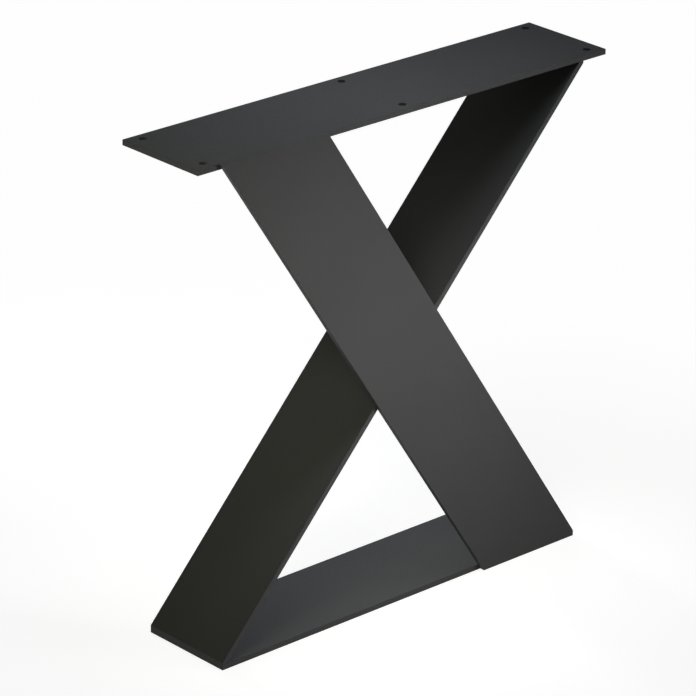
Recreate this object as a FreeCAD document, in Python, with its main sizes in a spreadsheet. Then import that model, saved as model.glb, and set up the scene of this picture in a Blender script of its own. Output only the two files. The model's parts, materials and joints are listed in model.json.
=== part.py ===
# X-shaped table leg, welded from one section of flat steel bar.
# A plate under the table top and a bar on the floor are joined by two crossing diagonals. The deep
# diagonal stands across the full depth of plate and base; the front diagonal lies against their front
# edges. Origin on the floor, in the middle of the leg; +X along the base, +Y to the back, +Z up.
import FreeCAD, Part
import Sketcher
import os

# Driving dimensions, in millimetres.
DRIVING = {
    "height": 720.0,  # floor to the underside of the table top
    "bar_width": 150.0,  # wide side of the flat bar that all four members are cut from
    "bar_thickness": 8.0,  # narrow side of that bar
    "base_length": 650.0,  # bar on the floor
    "plate_overhang": 40.0,  # how far the plate passes the base at each end
    "hole_diameter": 11.0,  # clearance for a 10 mm screw
    "hole_end_margin": 22.0,  # outer hole's centre to the plate's end
    "hole_side_margin": 15.0,  # hole's centre to the plate's long edge
    "end_trim": 3.0,  # upright cut of the deep diagonal's outer corner, at each end
    "edge_radius": 0.5,  # rounding of the bar's edges
    "weld_leg": 4.0,  # side of a fillet seam's section
    "weld_stop": 12.0,  # how far a seam ends short of the bar's edge
}

# Sizes that follow from them. A tilt is measured from the vertical: each diagonal runs from corner to
# corner of the space between base and plate, its two long sides passing through opposite corners. The
# deep diagonal's lower corner lies higher by its end trim.
DERIVED = {
    "plate_length": "=base_length + 2 * plate_overhang",
    "plate_underside": "=height - bar_thickness",
    "clear_height": "=height - 2 * bar_thickness",
    "deep_rise": "=clear_height - end_trim",
    "deep_tilt": "=acos(bar_thickness / hypot(base_length; deep_rise)) - atan2(deep_rise; base_length)",
    "front_tilt": "=acos(bar_width / hypot(base_length; clear_height)) - atan2(clear_height; base_length)",
    "deep_head": "=bar_thickness / cos(deep_tilt)",
    "deep_run": "=clear_height * tan(deep_tilt)",
    "deep_middle": "=(height + end_trim) / 2",
    "front_foot": "=bar_width / cos(front_tilt)",
    "base_end": "=base_length / 2",
    "head_end": "=base_end - end_trim * tan(deep_tilt)",
    "rear_side": "=(bar_width + bar_thickness) / 2",
    "front_side": "=rear_side - bar_width",
}

HOLES_ALONG = 3
HOLES_ACROSS = 2
SLOPE_TOLERANCE = 1e-3
PLACE_TOLERANCE = 1e-4


def add_sheet(doc):
    sheet = doc.addObject("Spreadsheet::Sheet", "sizes")
    for row, (alias, value) in enumerate({**DRIVING, **DERIVED}.items(), start=1):
        sheet.set(f"A{row}", alias)
        sheet.set(f"B{row}", str(value))
        sheet.setAlias(f"B{row}", alias)
    doc.recompute()
    return sheet


def add_body(doc, label):
    body = doc.addObject("PartDesign::Body", label)
    body.Label = label
    return body


def origin_feature(body, role):
    return next(feature for feature in body.Origin.OriginFeatures if feature.Role == role)


def add_sketch(body, name, role, offset):
    """Sketch on one of the body's own planes, moved along the plane's normal by an expression."""
    sketch = body.newObject("Sketcher::SketchObject", name)
    sketch.AttachmentSupport = [(origin_feature(body, role), "")]
    sketch.MapMode = "FlatFace"
    sketch.setExpression("AttachmentOffset.Base.z", offset)
    return sketch


def number(item, expression):
    value = item.evalExpression(expression)
    return float(getattr(value, "Value", value))


def pin_point(sketch, geometry, position, place):
    """Holds a point of the sketch at a place given as two expressions of the sheet."""
    for kind, expression in zip(("DistanceX", "DistanceY"), place):
        value = number(sketch, expression)
        constraint = Sketcher.Constraint(kind, -1, 1, geometry, position, value)
        index = sketch.addConstraint(constraint)
        sketch.setExpression(f"Constraints[{index}]", expression)


def draw_outline(sketch, corners):
    """Closed outline of straight sides; each corner is a pair of expressions of the sheet."""
    points = [FreeCAD.Vector(number(sketch, x), number(sketch, y), 0) for x, y in corners]
    ends = points[1:] + points[:1]
    sides = [sketch.addGeometry(Part.LineSegment(a, b), False) for a, b in zip(points, ends)]
    for before, side, corner in zip(sides[-1:] + sides[:-1], sides, corners):
        sketch.addConstraint(Sketcher.Constraint("Coincident", before, 2, side, 1))
        pin_point(sketch, side, 1, corner)


def add_prism(body, role, offset, corners, length):
    """Straight prism: an outline on one of the body's planes, padded along the plane's normal."""
    sketch = add_sketch(body, "outline", role, offset)
    draw_outline(sketch, corners)
    pad = body.newObject("PartDesign::Pad", "prism")
    pad.Profile = sketch
    pad.setExpression("Length", length)
    body.Document.recompute()
    return pad


def round_edges(body, solid, wanted):
    names = [f"Edge{i}" for i, edge in enumerate(solid.Shape.Edges, start=1) if wanted(edge)]
    fillet = body.newObject("PartDesign::Fillet", "rounded_edges")
    fillet.Base = (solid, names)
    fillet.setExpression("Radius", "sizes.edge_radius")
    body.Document.recompute()
    return fillet


def rises(edge):
    """True for an edge that is not level."""
    return abs(edge.tangentAt(edge.FirstParameter).z) > SLOPE_TOLERANCE


def flat_bar(doc, label, half_length, underside):
    """Horizontal length of flat bar, lying on its wide side."""
    body = add_body(doc, label)
    corners = (
        (f"-{half_length}", "sizes.front_side"),
        (half_length, "sizes.front_side"),
        (half_length, "sizes.rear_side"),
        (f"-{half_length}", "sizes.rear_side"),
    )
    return body, add_prism(body, "XY_Plane", underside, corners, "sizes.bar_thickness")


def make_top_plate(doc):
    body, bar = flat_bar(doc, "top_plate", "sizes.plate_length / 2", "sizes.plate_underside")
    round_edges(body, bar, wanted=lambda edge: True)
    drill_plate(body)
    return body


def drill_plate(body):
    """One hole at the front left, repeated along and across the plate."""
    sketch = add_sketch(body, "first_hole", "XY_Plane", "sizes.height")
    radius = number(sketch, "sizes.hole_diameter / 2")
    circle = sketch.addGeometry(Part.Circle(FreeCAD.Vector(), FreeCAD.Vector(0, 0, 1), radius), False)
    diameter = sketch.addConstraint(Sketcher.Constraint("Diameter", circle, 2 * radius))
    sketch.setExpression(f"Constraints[{diameter}]", "sizes.hole_diameter")
    place = ("sizes.hole_end_margin - sizes.plate_length / 2", "sizes.front_side + sizes.hole_side_margin")
    pin_point(sketch, circle, 3, place)

    hole = body.newObject("PartDesign::Pocket", "hole")
    hole.Profile = sketch
    hole.Type = "ThroughAll"
    body.Document.recompute()

    pattern = body.newObject("PartDesign::LinearPattern", "hole_grid")
    pattern.Originals = [hole]
    pattern.Direction = (origin_feature(body, "X_Axis"), [""])
    pattern.setExpression("Length", "sizes.plate_length - 2 * sizes.hole_end_margin")
    pattern.Occurrences = HOLES_ALONG
    pattern.Direction2 = (origin_feature(body, "Y_Axis"), [""])
    pattern.setExpression("Length2", "sizes.bar_width - 2 * sizes.hole_side_margin")
    pattern.Occurrences2 = HOLES_ACROSS
    body.Tip = pattern


def make_base_bar(doc):
    """The end edge under the deep diagonal's heel stays square, because the heel is flush with it."""
    body, bar = flat_bar(doc, "base_bar", "sizes.base_end", "0")
    box = bar.Shape.BoundBox

    def is_free(edge):
        middle = edge.CenterOfMass
        under_heel = middle.x < box.XMin + PLACE_TOLERANCE and middle.z > box.ZMax - PLACE_TOLERANCE
        return not under_heel

    round_edges(body, bar, is_free)
    return body


def make_deep_diagonal(doc):
    """Head and heel are cut upright at their outer corners, the heel in line with the base's end."""
    body = add_body(doc, "deep_diagonal")
    corners = (
        ("-sizes.base_end", "sizes.bar_thickness"),
        ("sizes.base_end - sizes.deep_run", "sizes.bar_thickness"),
        ("sizes.head_end", "sizes.plate_underside - sizes.end_trim"),
        ("sizes.head_end", "sizes.plate_underside"),
        ("sizes.base_end - sizes.deep_head", "sizes.plate_underside"),
        ("-sizes.base_end", "sizes.bar_thickness + sizes.end_trim"),
    )
    bar = add_prism(body, "XZ_Plane", "-sizes.rear_side", corners, "sizes.bar_width")
    round_edges(body, bar, rises)
    return body


def make_front_diagonal(doc):
    """Its top is flush with the plate's, and its foot with the floor and the base's end."""
    body = add_body(doc, "front_diagonal")
    corner_run = "sizes.bar_thickness * tan(sizes.front_tilt)"
    foot_run = "sizes.clear_height * tan(sizes.front_tilt)"
    corners = (
        (f"-sizes.base_end - {corner_run}", "sizes.height"),
        (f"-sizes.base_end + {foot_run} + {corner_run}", "0"),
        ("sizes.base_end", "0"),
        ("sizes.base_end", "sizes.bar_thickness"),
        (f"sizes.base_end - {foot_run} - {corner_run}", "sizes.height"),
    )
    bar = add_prism(body, "XZ_Plane", "-sizes.front_side", corners, "sizes.bar_thickness")
    front = bar.Shape.BoundBox.YMin
    round_edges(
        body,
        bar,
        wanted=lambda edge: rises(edge) or edge.CenterOfMass.y < front + PLACE_TOLERANCE,
    )
    return body


def slanted_section(x, z, along_plate, along_bar):
    """Section of a seam against the deep diagonal's slope.

    The signs say which way its two sides leave the corner.
    """
    side = f"{along_bar} * sizes.weld_leg"
    return (
        (x, z),
        (f"{x} + {along_plate} * sizes.weld_leg", z),
        (f"{x} + {side} * sin(sizes.deep_tilt)", f"{z} + {side} * cos(sizes.deep_tilt)"),
    )


def upright_section(x, z):
    """Section of the seam against the head's upright cut, as high as the cut."""
    return ((x, z), (f"{x} + sizes.end_trim", z), (x, f"{z} - sizes.end_trim"))


def make_deep_seam(doc, label, section):
    """Seam across the depth, in a corner of the deep diagonal with the plate or the base."""
    body = add_body(doc, label)
    length = "sizes.bar_width - 2 * sizes.weld_stop"
    add_prism(body, "XZ_Plane", "-sizes.rear_side + sizes.weld_stop", section, length)
    return body


def make_front_seam(doc, label, start, height, upwards):
    """Seam along the back of the front diagonal, in its corner with the plate or the base."""
    corners = (
        ("sizes.front_side", height),
        ("sizes.front_side + sizes.weld_leg", height),
        ("sizes.front_side", f"{height} + {upwards} * sizes.weld_leg"),
    )
    body = add_body(doc, label)
    length = "sizes.front_foot - 2 * sizes.weld_stop"
    add_prism(body, "YZ_Plane", f"{start} + sizes.weld_stop", corners, length)
    return body


def make_crossing_seam(doc, label, side):
    """Seam where the two diagonals cross, on one side of the deep one and behind the front one."""
    face = f"{side} * sizes.bar_thickness / 2"
    corners = (
        (face, "0"),
        (f"{face} + {side} * sizes.weld_leg", "0"),
        (face, "sizes.weld_leg"),
    )
    body = add_body(doc, label)
    length = "(sizes.bar_width / sin(sizes.front_tilt + sizes.deep_tilt) - 2 * sizes.weld_stop)"
    add_prism(body, "XY_Plane", f"-{length} / 2", corners, length)
    body.Placement.Rotation = FreeCAD.Rotation(FreeCAD.Vector(0, 1, 0), number(body, "sizes.deep_tilt"))
    body.setExpression("Placement.Rotation.Angle", "sizes.deep_tilt")
    body.setExpression("Placement.Base.y", "sizes.front_side")
    body.setExpression("Placement.Base.z", "sizes.deep_middle")
    return body


def make_seams(doc):
    plate_outer = upright_section("sizes.head_end", "sizes.plate_underside")
    plate_inner = slanted_section(
        "sizes.base_end - sizes.deep_head", "sizes.plate_underside", along_plate=-1, along_bar=-1
    )
    base_inner = slanted_section(
        "sizes.base_end - sizes.deep_run", "sizes.bar_thickness", along_plate=1, along_bar=1
    )
    front_base_start = "sizes.base_end - sizes.front_foot"
    return [
        make_deep_seam(doc, "weld_plate_outer", plate_outer),
        make_deep_seam(doc, "weld_plate_inner", plate_inner),
        make_deep_seam(doc, "weld_base_inner", base_inner),
        make_front_seam(doc, "weld_front_plate", "-sizes.base_end", "sizes.plate_underside", upwards=-1),
        make_front_seam(doc, "weld_front_base", front_base_start, "sizes.bar_thickness", upwards=1),
        make_crossing_seam(doc, "weld_crossing_lower", side=1),
        make_crossing_seam(doc, "weld_crossing_upper", side=-1),
    ]


def check_document(doc, bodies):
    for item in doc.Objects:
        if "Invalid" in item.State or "Error" in item.State:
            raise RuntimeError(f"{item.Label} failed: {item.State}")
    for body in bodies:
        if body.Shape.isNull() or not body.Shape.isValid():
            raise RuntimeError(f"{body.Label} has no valid shape")


def main():
    doc = FreeCAD.newDocument("table_leg")
    add_sheet(doc)
    bars = [make_top_plate(doc), make_base_bar(doc), make_deep_diagonal(doc), make_front_diagonal(doc)]
    bodies = bars + make_seams(doc)
    doc.recompute()
    check_document(doc, bodies)
    os.makedirs("parts", exist_ok=True)
    for body in bodies:
        body.Shape.exportStep(f"parts/{body.Label}.step")
        print(f"{body.Label}: {body.Shape.Volume:.0f} mm3")


main()
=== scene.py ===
import json
import math

import bmesh
import bpy
import numpy as np
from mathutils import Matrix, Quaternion, Vector


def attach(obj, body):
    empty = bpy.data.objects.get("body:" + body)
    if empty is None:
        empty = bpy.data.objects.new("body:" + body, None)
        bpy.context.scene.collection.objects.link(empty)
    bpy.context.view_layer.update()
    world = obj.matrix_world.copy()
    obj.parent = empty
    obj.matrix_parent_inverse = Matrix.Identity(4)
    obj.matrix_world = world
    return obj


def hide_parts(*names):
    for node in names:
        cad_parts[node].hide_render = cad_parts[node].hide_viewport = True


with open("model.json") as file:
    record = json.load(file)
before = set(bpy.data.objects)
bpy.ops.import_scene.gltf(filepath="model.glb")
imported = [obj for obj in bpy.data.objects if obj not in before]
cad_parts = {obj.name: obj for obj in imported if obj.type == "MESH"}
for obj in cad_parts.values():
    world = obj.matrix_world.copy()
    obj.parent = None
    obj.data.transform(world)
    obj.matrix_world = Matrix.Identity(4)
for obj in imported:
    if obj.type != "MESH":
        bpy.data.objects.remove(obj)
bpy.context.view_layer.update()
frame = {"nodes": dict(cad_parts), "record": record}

MM = 0.001

# Tints of the light.
WHITE = (1.0, 1.0, 1.0)
WARM = (1.0, 0.97, 0.72)
COOL = (0.95, 1.0, 1.05)

# Which CAD nodes are bars and which are weld seams, by the finish that the record gives them.
BAR_SLOT = "powder_coat"
SEAM_SLOT = "coated_weld"
NODES_OF_SLOT = {
    slot: [part["node"] for part in frame["record"]["subparts"] if part["material_slot"] == slot]
    for slot in (BAR_SLOT, SEAM_SLOT)
}

# Camera, fitted to the edges in the photograph.
VIEW_AZIMUTH = math.radians(-42.35)
VIEW_ELEVATION = math.radians(22.90)
VIEW_ROLL = math.radians(0.64)
VIEW_AIM = Vector((-0.0238, 0.0187, 0.3546))
VIEW_DISTANCE = 5.744
SENSOR_MM = 36.0
LENS_MM = 218.9

# Powder coat.
COAT_DARK = (0.051, 0.051, 0.052)
COAT_LIGHT = (0.061, 0.061, 0.062)
COAT_SPECULAR = 0.2
COAT_ROUGHNESS = (0.58, 0.64)
# Its structure, from the finest grain to slow changes over a whole bar: noise scale per metre, and detail.
PEBBLES = (950.0, 2.0)
FLOW = (260.0, 3.0)
DRIFT = (5.0, 2.0)
# What the pebbles contribute to tone and height, and the noise values that span all tones and sheens.
PEBBLES_IN_TONE = 0.55
PEBBLES_IN_HEIGHT = 0.9
TONE_SPAN = (0.35, 0.65)
SHEEN_SPAN = (0.3, 0.7)
GRAIN_DEPTH = 0.12 * MM
GRAIN_STRENGTH = 0.3

# Weld beads.
RIPPLE_PITCH = 2.6 * MM
RIPPLE_DEPTH = 0.28 * MM
RIPPLE_SWEEP = 1.5 * MM  # how far a ripple bows along the seam in the middle of the bead
RIPPLE_AT_TOE = 0.35  # share of its depth that a ripple keeps at the bead's edges
BEAD_CROWN = 0.55 * MM
BEAD_END = 0.14  # share of its full size that a bead keeps at its very end
RINGS_PER_RIPPLE = 8
POINTS_ACROSS = 12
MERGE_DECIMALS = 6  # of a metre, to which a seam's mesh corners are told apart
# How unevenly the ripples follow each other: wave length, and shift as a share of the pitch.
RIPPLE_WAVES = ((56.5 * MM, 0.25), (23.2 * MM, 0.15))

# Stage. The floor glows a little less near the leg, where the lamps add to it and the shadow shows.
FLOOR_RADIUS = 14.0
FLOOR_SIDES = 96
FLOOR_COLOUR = (0.4, 0.4, 0.4, 1.0)
FLOOR_GLOW = (0.86, 0.98)
FLOOR_FADE = (0.4, 1.1)

# Surround, warm on the left and cool on the right. It lights the leg only a little, but in the leg's
# sheen it is bright at the horizon and dimmer above.
AMBIENT = 0.02
HORIZON_SINES = (0.03, 0.14)
HORIZON_TONES = (1.0, 0.37)
WALL_SPAN = (-0.5, 0.5)
WALL_LEFT = (1.0, 0.99, 0.80)
WALL_RIGHT = (0.94, 1.0, 1.07)

# Softboxes with a grid, close to the leg, so that their light falls off towards its ends. The spread is
# in degrees. The leg's sheen shows every lamp but the rear one.
SOFTBOXES = {
    "key": dict(
        place=(0.75, -1.15, 0.48), aim=(-0.06, -0.08, 0.40),
        side=0.6, spread=42.0, watts=1.11,
    ),
    "top": dict(
        place=(-0.05, -0.15, 1.5), aim=(0.0, 0.0, 0.7),
        side=0.5, spread=60.0, watts=0.7, tint=COOL,
    ),
    "left": dict(
        place=(-0.9, -0.5, 1.1), aim=(-0.1, 0.0, 0.22),
        side=0.5, spread=36.0, watts=0.31, tint=WARM,
    ),
    "right": dict(
        place=(0.9, 1.1, 0.55), aim=(0.15, 0.0, 0.02),
        side=0.4, spread=42.0, watts=0.18, tint=COOL,
    ),
    "low": dict(
        place=(-0.95, 0.1, 0.25), aim=(-0.365, 0.0, 0.74),
        side=0.3, spread=24.0, watts=0.064,
    ),
    "rear": dict(
        place=(0.1, 1.6, 0.5), aim=(0.0, 0.08, 0.36),
        side=0.6, spread=45.0, watts=2.0, in_sheen=False,
    ),
}


# Node helpers

def new_material(name):
    material = bpy.data.materials.new(name)
    material.use_nodes = True
    tree = material.node_tree
    tree.nodes.clear()
    return material, tree


def add_node(tree, kind, inputs=None, **settings):
    """New node; an input is a value for its socket or another node's output to link to it."""
    node = tree.nodes.new(kind)
    for name, value in settings.items():
        setattr(node, name, value)
    for name, value in (inputs or {}).items():
        if isinstance(value, bpy.types.NodeSocket):
            tree.links.new(value, node.inputs[name])
        else:
            node.inputs[name].default_value = value
    return node


def add_math(tree, operation, first, second):
    return add_node(tree, "ShaderNodeMath", {0: first, 1: second}, operation=operation).outputs[0]


def mixed(tree, first, second, share):
    """Weighted sum of two values, in which the first has the given share."""
    parts = (add_math(tree, "MULTIPLY", first, share), add_math(tree, "MULTIPLY", second, 1.0 - share))
    return add_math(tree, "ADD", *parts)


def map_range(tree, value, source, target):
    limits = dict(zip(("From Min", "From Max", "To Min", "To Max"), source + target))
    node = add_node(tree, "ShaderNodeMapRange", {"Value": value, **limits}, interpolation_type="SMOOTHSTEP")
    return node.outputs["Result"]


def blend(tree, value, span, first, last):
    """Colour that runs from the first to the last as the value crosses the span."""
    ramp = add_node(tree, "ShaderNodeValToRGB", {"Fac": map_range(tree, value, span, (0.0, 1.0))})
    for element, colour in zip(ramp.color_ramp.elements, (first, last)):
        element.color = (*colour, 1.0)
    return ramp.outputs["Color"]


def add_noise(tree, place, per_metre, detail):
    inputs = {"Vector": place, "Scale": per_metre, "Detail": detail}
    return add_node(tree, "ShaderNodeTexNoise", inputs).outputs["Fac"]


def is_reflected(tree, path):
    return add_math(tree, "MAXIMUM", path["Is Glossy Ray"], path["Is Transmission Ray"])


# Materials

def powder_coat(name):
    """Matt dark powder coat with the fine pebbled structure that such a coat cures to."""
    material, tree = new_material(name)
    place = add_node(tree, "ShaderNodeTexCoord").outputs["Object"]
    pebbles = add_noise(tree, place, *PEBBLES)
    flow = add_noise(tree, place, *FLOW)
    drift = add_noise(tree, place, *DRIFT)

    tone = mixed(tree, pebbles, drift, PEBBLES_IN_TONE)
    height = mixed(tree, pebbles, flow, PEBBLES_IN_HEIGHT)
    grain = add_node(
        tree, "ShaderNodeBump", {"Height": height, "Strength": GRAIN_STRENGTH, "Distance": GRAIN_DEPTH}
    )
    surface = {
        "Base Color": blend(tree, tone, TONE_SPAN, COAT_DARK, COAT_LIGHT),
        "Roughness": map_range(tree, flow, SHEEN_SPAN, COAT_ROUGHNESS),
        "Normal": grain.outputs["Normal"],
        "Specular IOR Level": COAT_SPECULAR,
    }
    shader = add_node(tree, "ShaderNodeBsdfPrincipled", surface)
    add_node(tree, "ShaderNodeOutputMaterial", {"Surface": shader.outputs["BSDF"]})
    return material


def floor_paint():
    """Pale floor that takes the leg's shadow and runs out into a white surround."""
    material, tree = new_material("floor_paint")
    paint = add_node(tree, "ShaderNodeBsdfDiffuse", {"Color": FLOOR_COLOUR})
    place = add_node(tree, "ShaderNodeTexCoord").outputs["Object"]
    distance = add_node(tree, "ShaderNodeVectorMath", {0: place}, operation="LENGTH").outputs["Value"]
    path = add_node(tree, "ShaderNodeLightPath").outputs
    seen = add_math(tree, "MAXIMUM", path["Is Camera Ray"], is_reflected(tree, path))
    strength = add_math(tree, "MULTIPLY", seen, map_range(tree, distance, FLOOR_FADE, FLOOR_GLOW))
    glow = add_node(tree, "ShaderNodeEmission", {"Strength": strength})
    both = add_node(tree, "ShaderNodeAddShader", {0: paint.outputs[0], 1: glow.outputs[0]})
    add_node(tree, "ShaderNodeOutputMaterial", {"Surface": both.outputs[0]})
    return material


# Weld beads

def seam_section(node):
    """The seam's section at one end, root first and then the two toes, and the vector to its other end."""
    places = np.array([vertex.co for vertex in frame["nodes"][node].data.vertices])
    corners = np.unique(places.round(MERGE_DECIMALS), axis=0)
    from_middle = corners - corners.mean(axis=0)

    # The seam runs the way its corners spread most.
    axis = np.linalg.svd(from_middle)[2][0]
    along = from_middle @ axis
    section = [Vector(corner) for corner in corners[along < 0]]
    length = float(along.max() - along.min())

    def lopsided(corner):
        sides = [(other - corner).length for other in section if other is not corner]
        return abs(sides[0] - sides[1])

    # Two equal sides of the section meet at its root.
    root = min(section, key=lopsided)
    toes = [corner for corner in section if corner is not root]
    return root, toes, Vector(axis) * length


def bead_fullness(to_end, leg):
    """Share of its full section that a bead has at a distance from its end: a rounded taper."""
    if to_end >= leg:
        return 1.0
    return max(BEAD_END, math.sqrt(1.0 - (1.0 - to_end / leg) ** 2))


def bead_ring(travel, root, sides, fullness):
    """Points of one section: the root, then the face from toe to toe."""
    outwards = (sides[0] + sides[1]).normalized()
    shift = sum(share * math.sin(math.tau * travel / wave) for wave, share in RIPPLE_WAVES)
    ring = [root]
    for k in range(POINTS_ACROSS + 1):
        across = k / POINTS_ACROSS
        arch = 4.0 * across * (1.0 - across)  # 0 at the toes, 1 in the middle
        ripple = abs(math.sin(math.pi * ((travel + RIPPLE_SWEEP * arch) / RIPPLE_PITCH + shift)))
        ripple_share = RIPPLE_AT_TOE + (1.0 - RIPPLE_AT_TOE) * arch
        swell = BEAD_CROWN * arch + RIPPLE_DEPTH * ripple * ripple_share
        face = sides[0].lerp(sides[1], across) + outwards * swell
        ring.append(root + face * fullness)
    return ring


def weld_bead(node, material):
    """Rounded, rippled bead that fills the seam's section and tapers off at both ends."""
    root, toes, run = seam_section(node)
    sides = [toe - root for toe in toes]
    ring_count = int(run.length / RIPPLE_PITCH * RINGS_PER_RIPPLE)

    mesh = bmesh.new()
    rings = []
    for i in range(ring_count + 1):
        travel = run.length * i / ring_count
        fullness = bead_fullness(min(travel, run.length - travel), sides[0].length)
        points = bead_ring(travel, root + run * (i / ring_count), sides, fullness)
        rings.append([mesh.verts.new(point) for point in points])
    for near, far in zip(rings, rings[1:]):
        for k in range(len(near)):
            after = (k + 1) % len(near)
            mesh.faces.new((near[k], near[after], far[after], far[k]))
    mesh.faces.new(rings[0])
    mesh.faces.new(reversed(rings[-1]))
    bmesh.ops.recalc_face_normals(mesh, faces=mesh.faces)

    bead = add_mesh(f"{node}_bead", mesh, material)
    bead.data.shade_smooth()
    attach(bead, "root")
    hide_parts(node)


def add_mesh(name, mesh, material):
    data = bpy.data.meshes.new(name)
    mesh.to_mesh(data)
    mesh.free()
    data.materials.append(material)
    return add_object(name, data)


def add_object(name, data):
    item = bpy.data.objects.new(name, data)
    bpy.context.scene.collection.objects.link(item)
    return item


# Stage

def add_floor():
    mesh = bmesh.new()
    bmesh.ops.create_circle(mesh, cap_ends=True, segments=FLOOR_SIDES, radius=FLOOR_RADIUS)
    add_mesh("floor", mesh, floor_paint())


def add_world():
    """White surround for the camera, the tinted studio in reflections, low even light otherwise."""
    world = bpy.data.worlds.new("studio")
    world.use_nodes = True
    tree = world.node_tree
    tree.nodes.clear()
    direction = add_node(tree, "ShaderNodeTexCoord").outputs["Generated"]
    axes = add_node(tree, "ShaderNodeSeparateXYZ", {0: direction}).outputs
    path = add_node(tree, "ShaderNodeLightPath").outputs
    shown = map_range(tree, axes["Z"], HORIZON_SINES, HORIZON_TONES)
    mirrored = add_math(tree, "MULTIPLY", is_reflected(tree, path), shown)
    strength = add_math(tree, "MAXIMUM", mirrored, AMBIENT)
    tint = blend(tree, axes["X"], WALL_SPAN, WALL_LEFT, WALL_RIGHT)
    studio = add_node(tree, "ShaderNodeBackground", {"Color": tint, "Strength": strength})
    white = add_node(tree, "ShaderNodeBackground", {"Color": (*WHITE, 1.0)})
    either = {0: path["Is Camera Ray"], 1: studio.outputs[0], 2: white.outputs[0]}
    surround = add_node(tree, "ShaderNodeMixShader", either)
    add_node(tree, "ShaderNodeOutputWorld", {"Surface": surround.outputs[0]})
    bpy.context.scene.world = world


def add_softbox(name, place, aim, side, spread, watts, tint=WHITE, in_sheen=True):
    lamp = bpy.data.lights.new(name, "AREA")
    lamp.shape = "SQUARE"
    lamp.size = side
    lamp.spread = math.radians(spread)
    lamp.energy = watts
    lamp.color = tint
    holder = add_object(name, lamp)
    holder.location = place
    holder.rotation_euler = (Vector(aim) - Vector(place)).to_track_quat("-Z", "Y").to_euler()
    holder.visible_camera = False
    holder.visible_glossy = in_sheen


def add_camera():
    level = math.cos(VIEW_ELEVATION)
    back = Vector(
        (math.sin(VIEW_AZIMUTH) * level, -math.cos(VIEW_AZIMUTH) * level, math.sin(VIEW_ELEVATION))
    )
    lens = bpy.data.cameras.new("camera")
    lens.sensor_width = SENSOR_MM
    lens.lens = LENS_MM
    camera = add_object("camera", lens)
    camera.location = VIEW_AIM + back * VIEW_DISTANCE
    camera.rotation_mode = "QUATERNION"
    camera.rotation_quaternion = (-back).to_track_quat("-Z", "Y") @ Quaternion((0, 0, 1), VIEW_ROLL)
    bpy.context.scene.camera = camera


# Scene

coat = powder_coat("fine_powder_coat")
for name in NODES_OF_SLOT[BAR_SLOT]:
    frame["nodes"][name].material_slots[0].material = coat
for name in NODES_OF_SLOT[SEAM_SLOT]:
    weld_bead(name, coat)

add_floor()
add_world()
for name, setting in SOFTBOXES.items():
    add_softbox(name, **setting)
add_camera()
bpy.context.scene.view_settings.view_transform = "Standard"
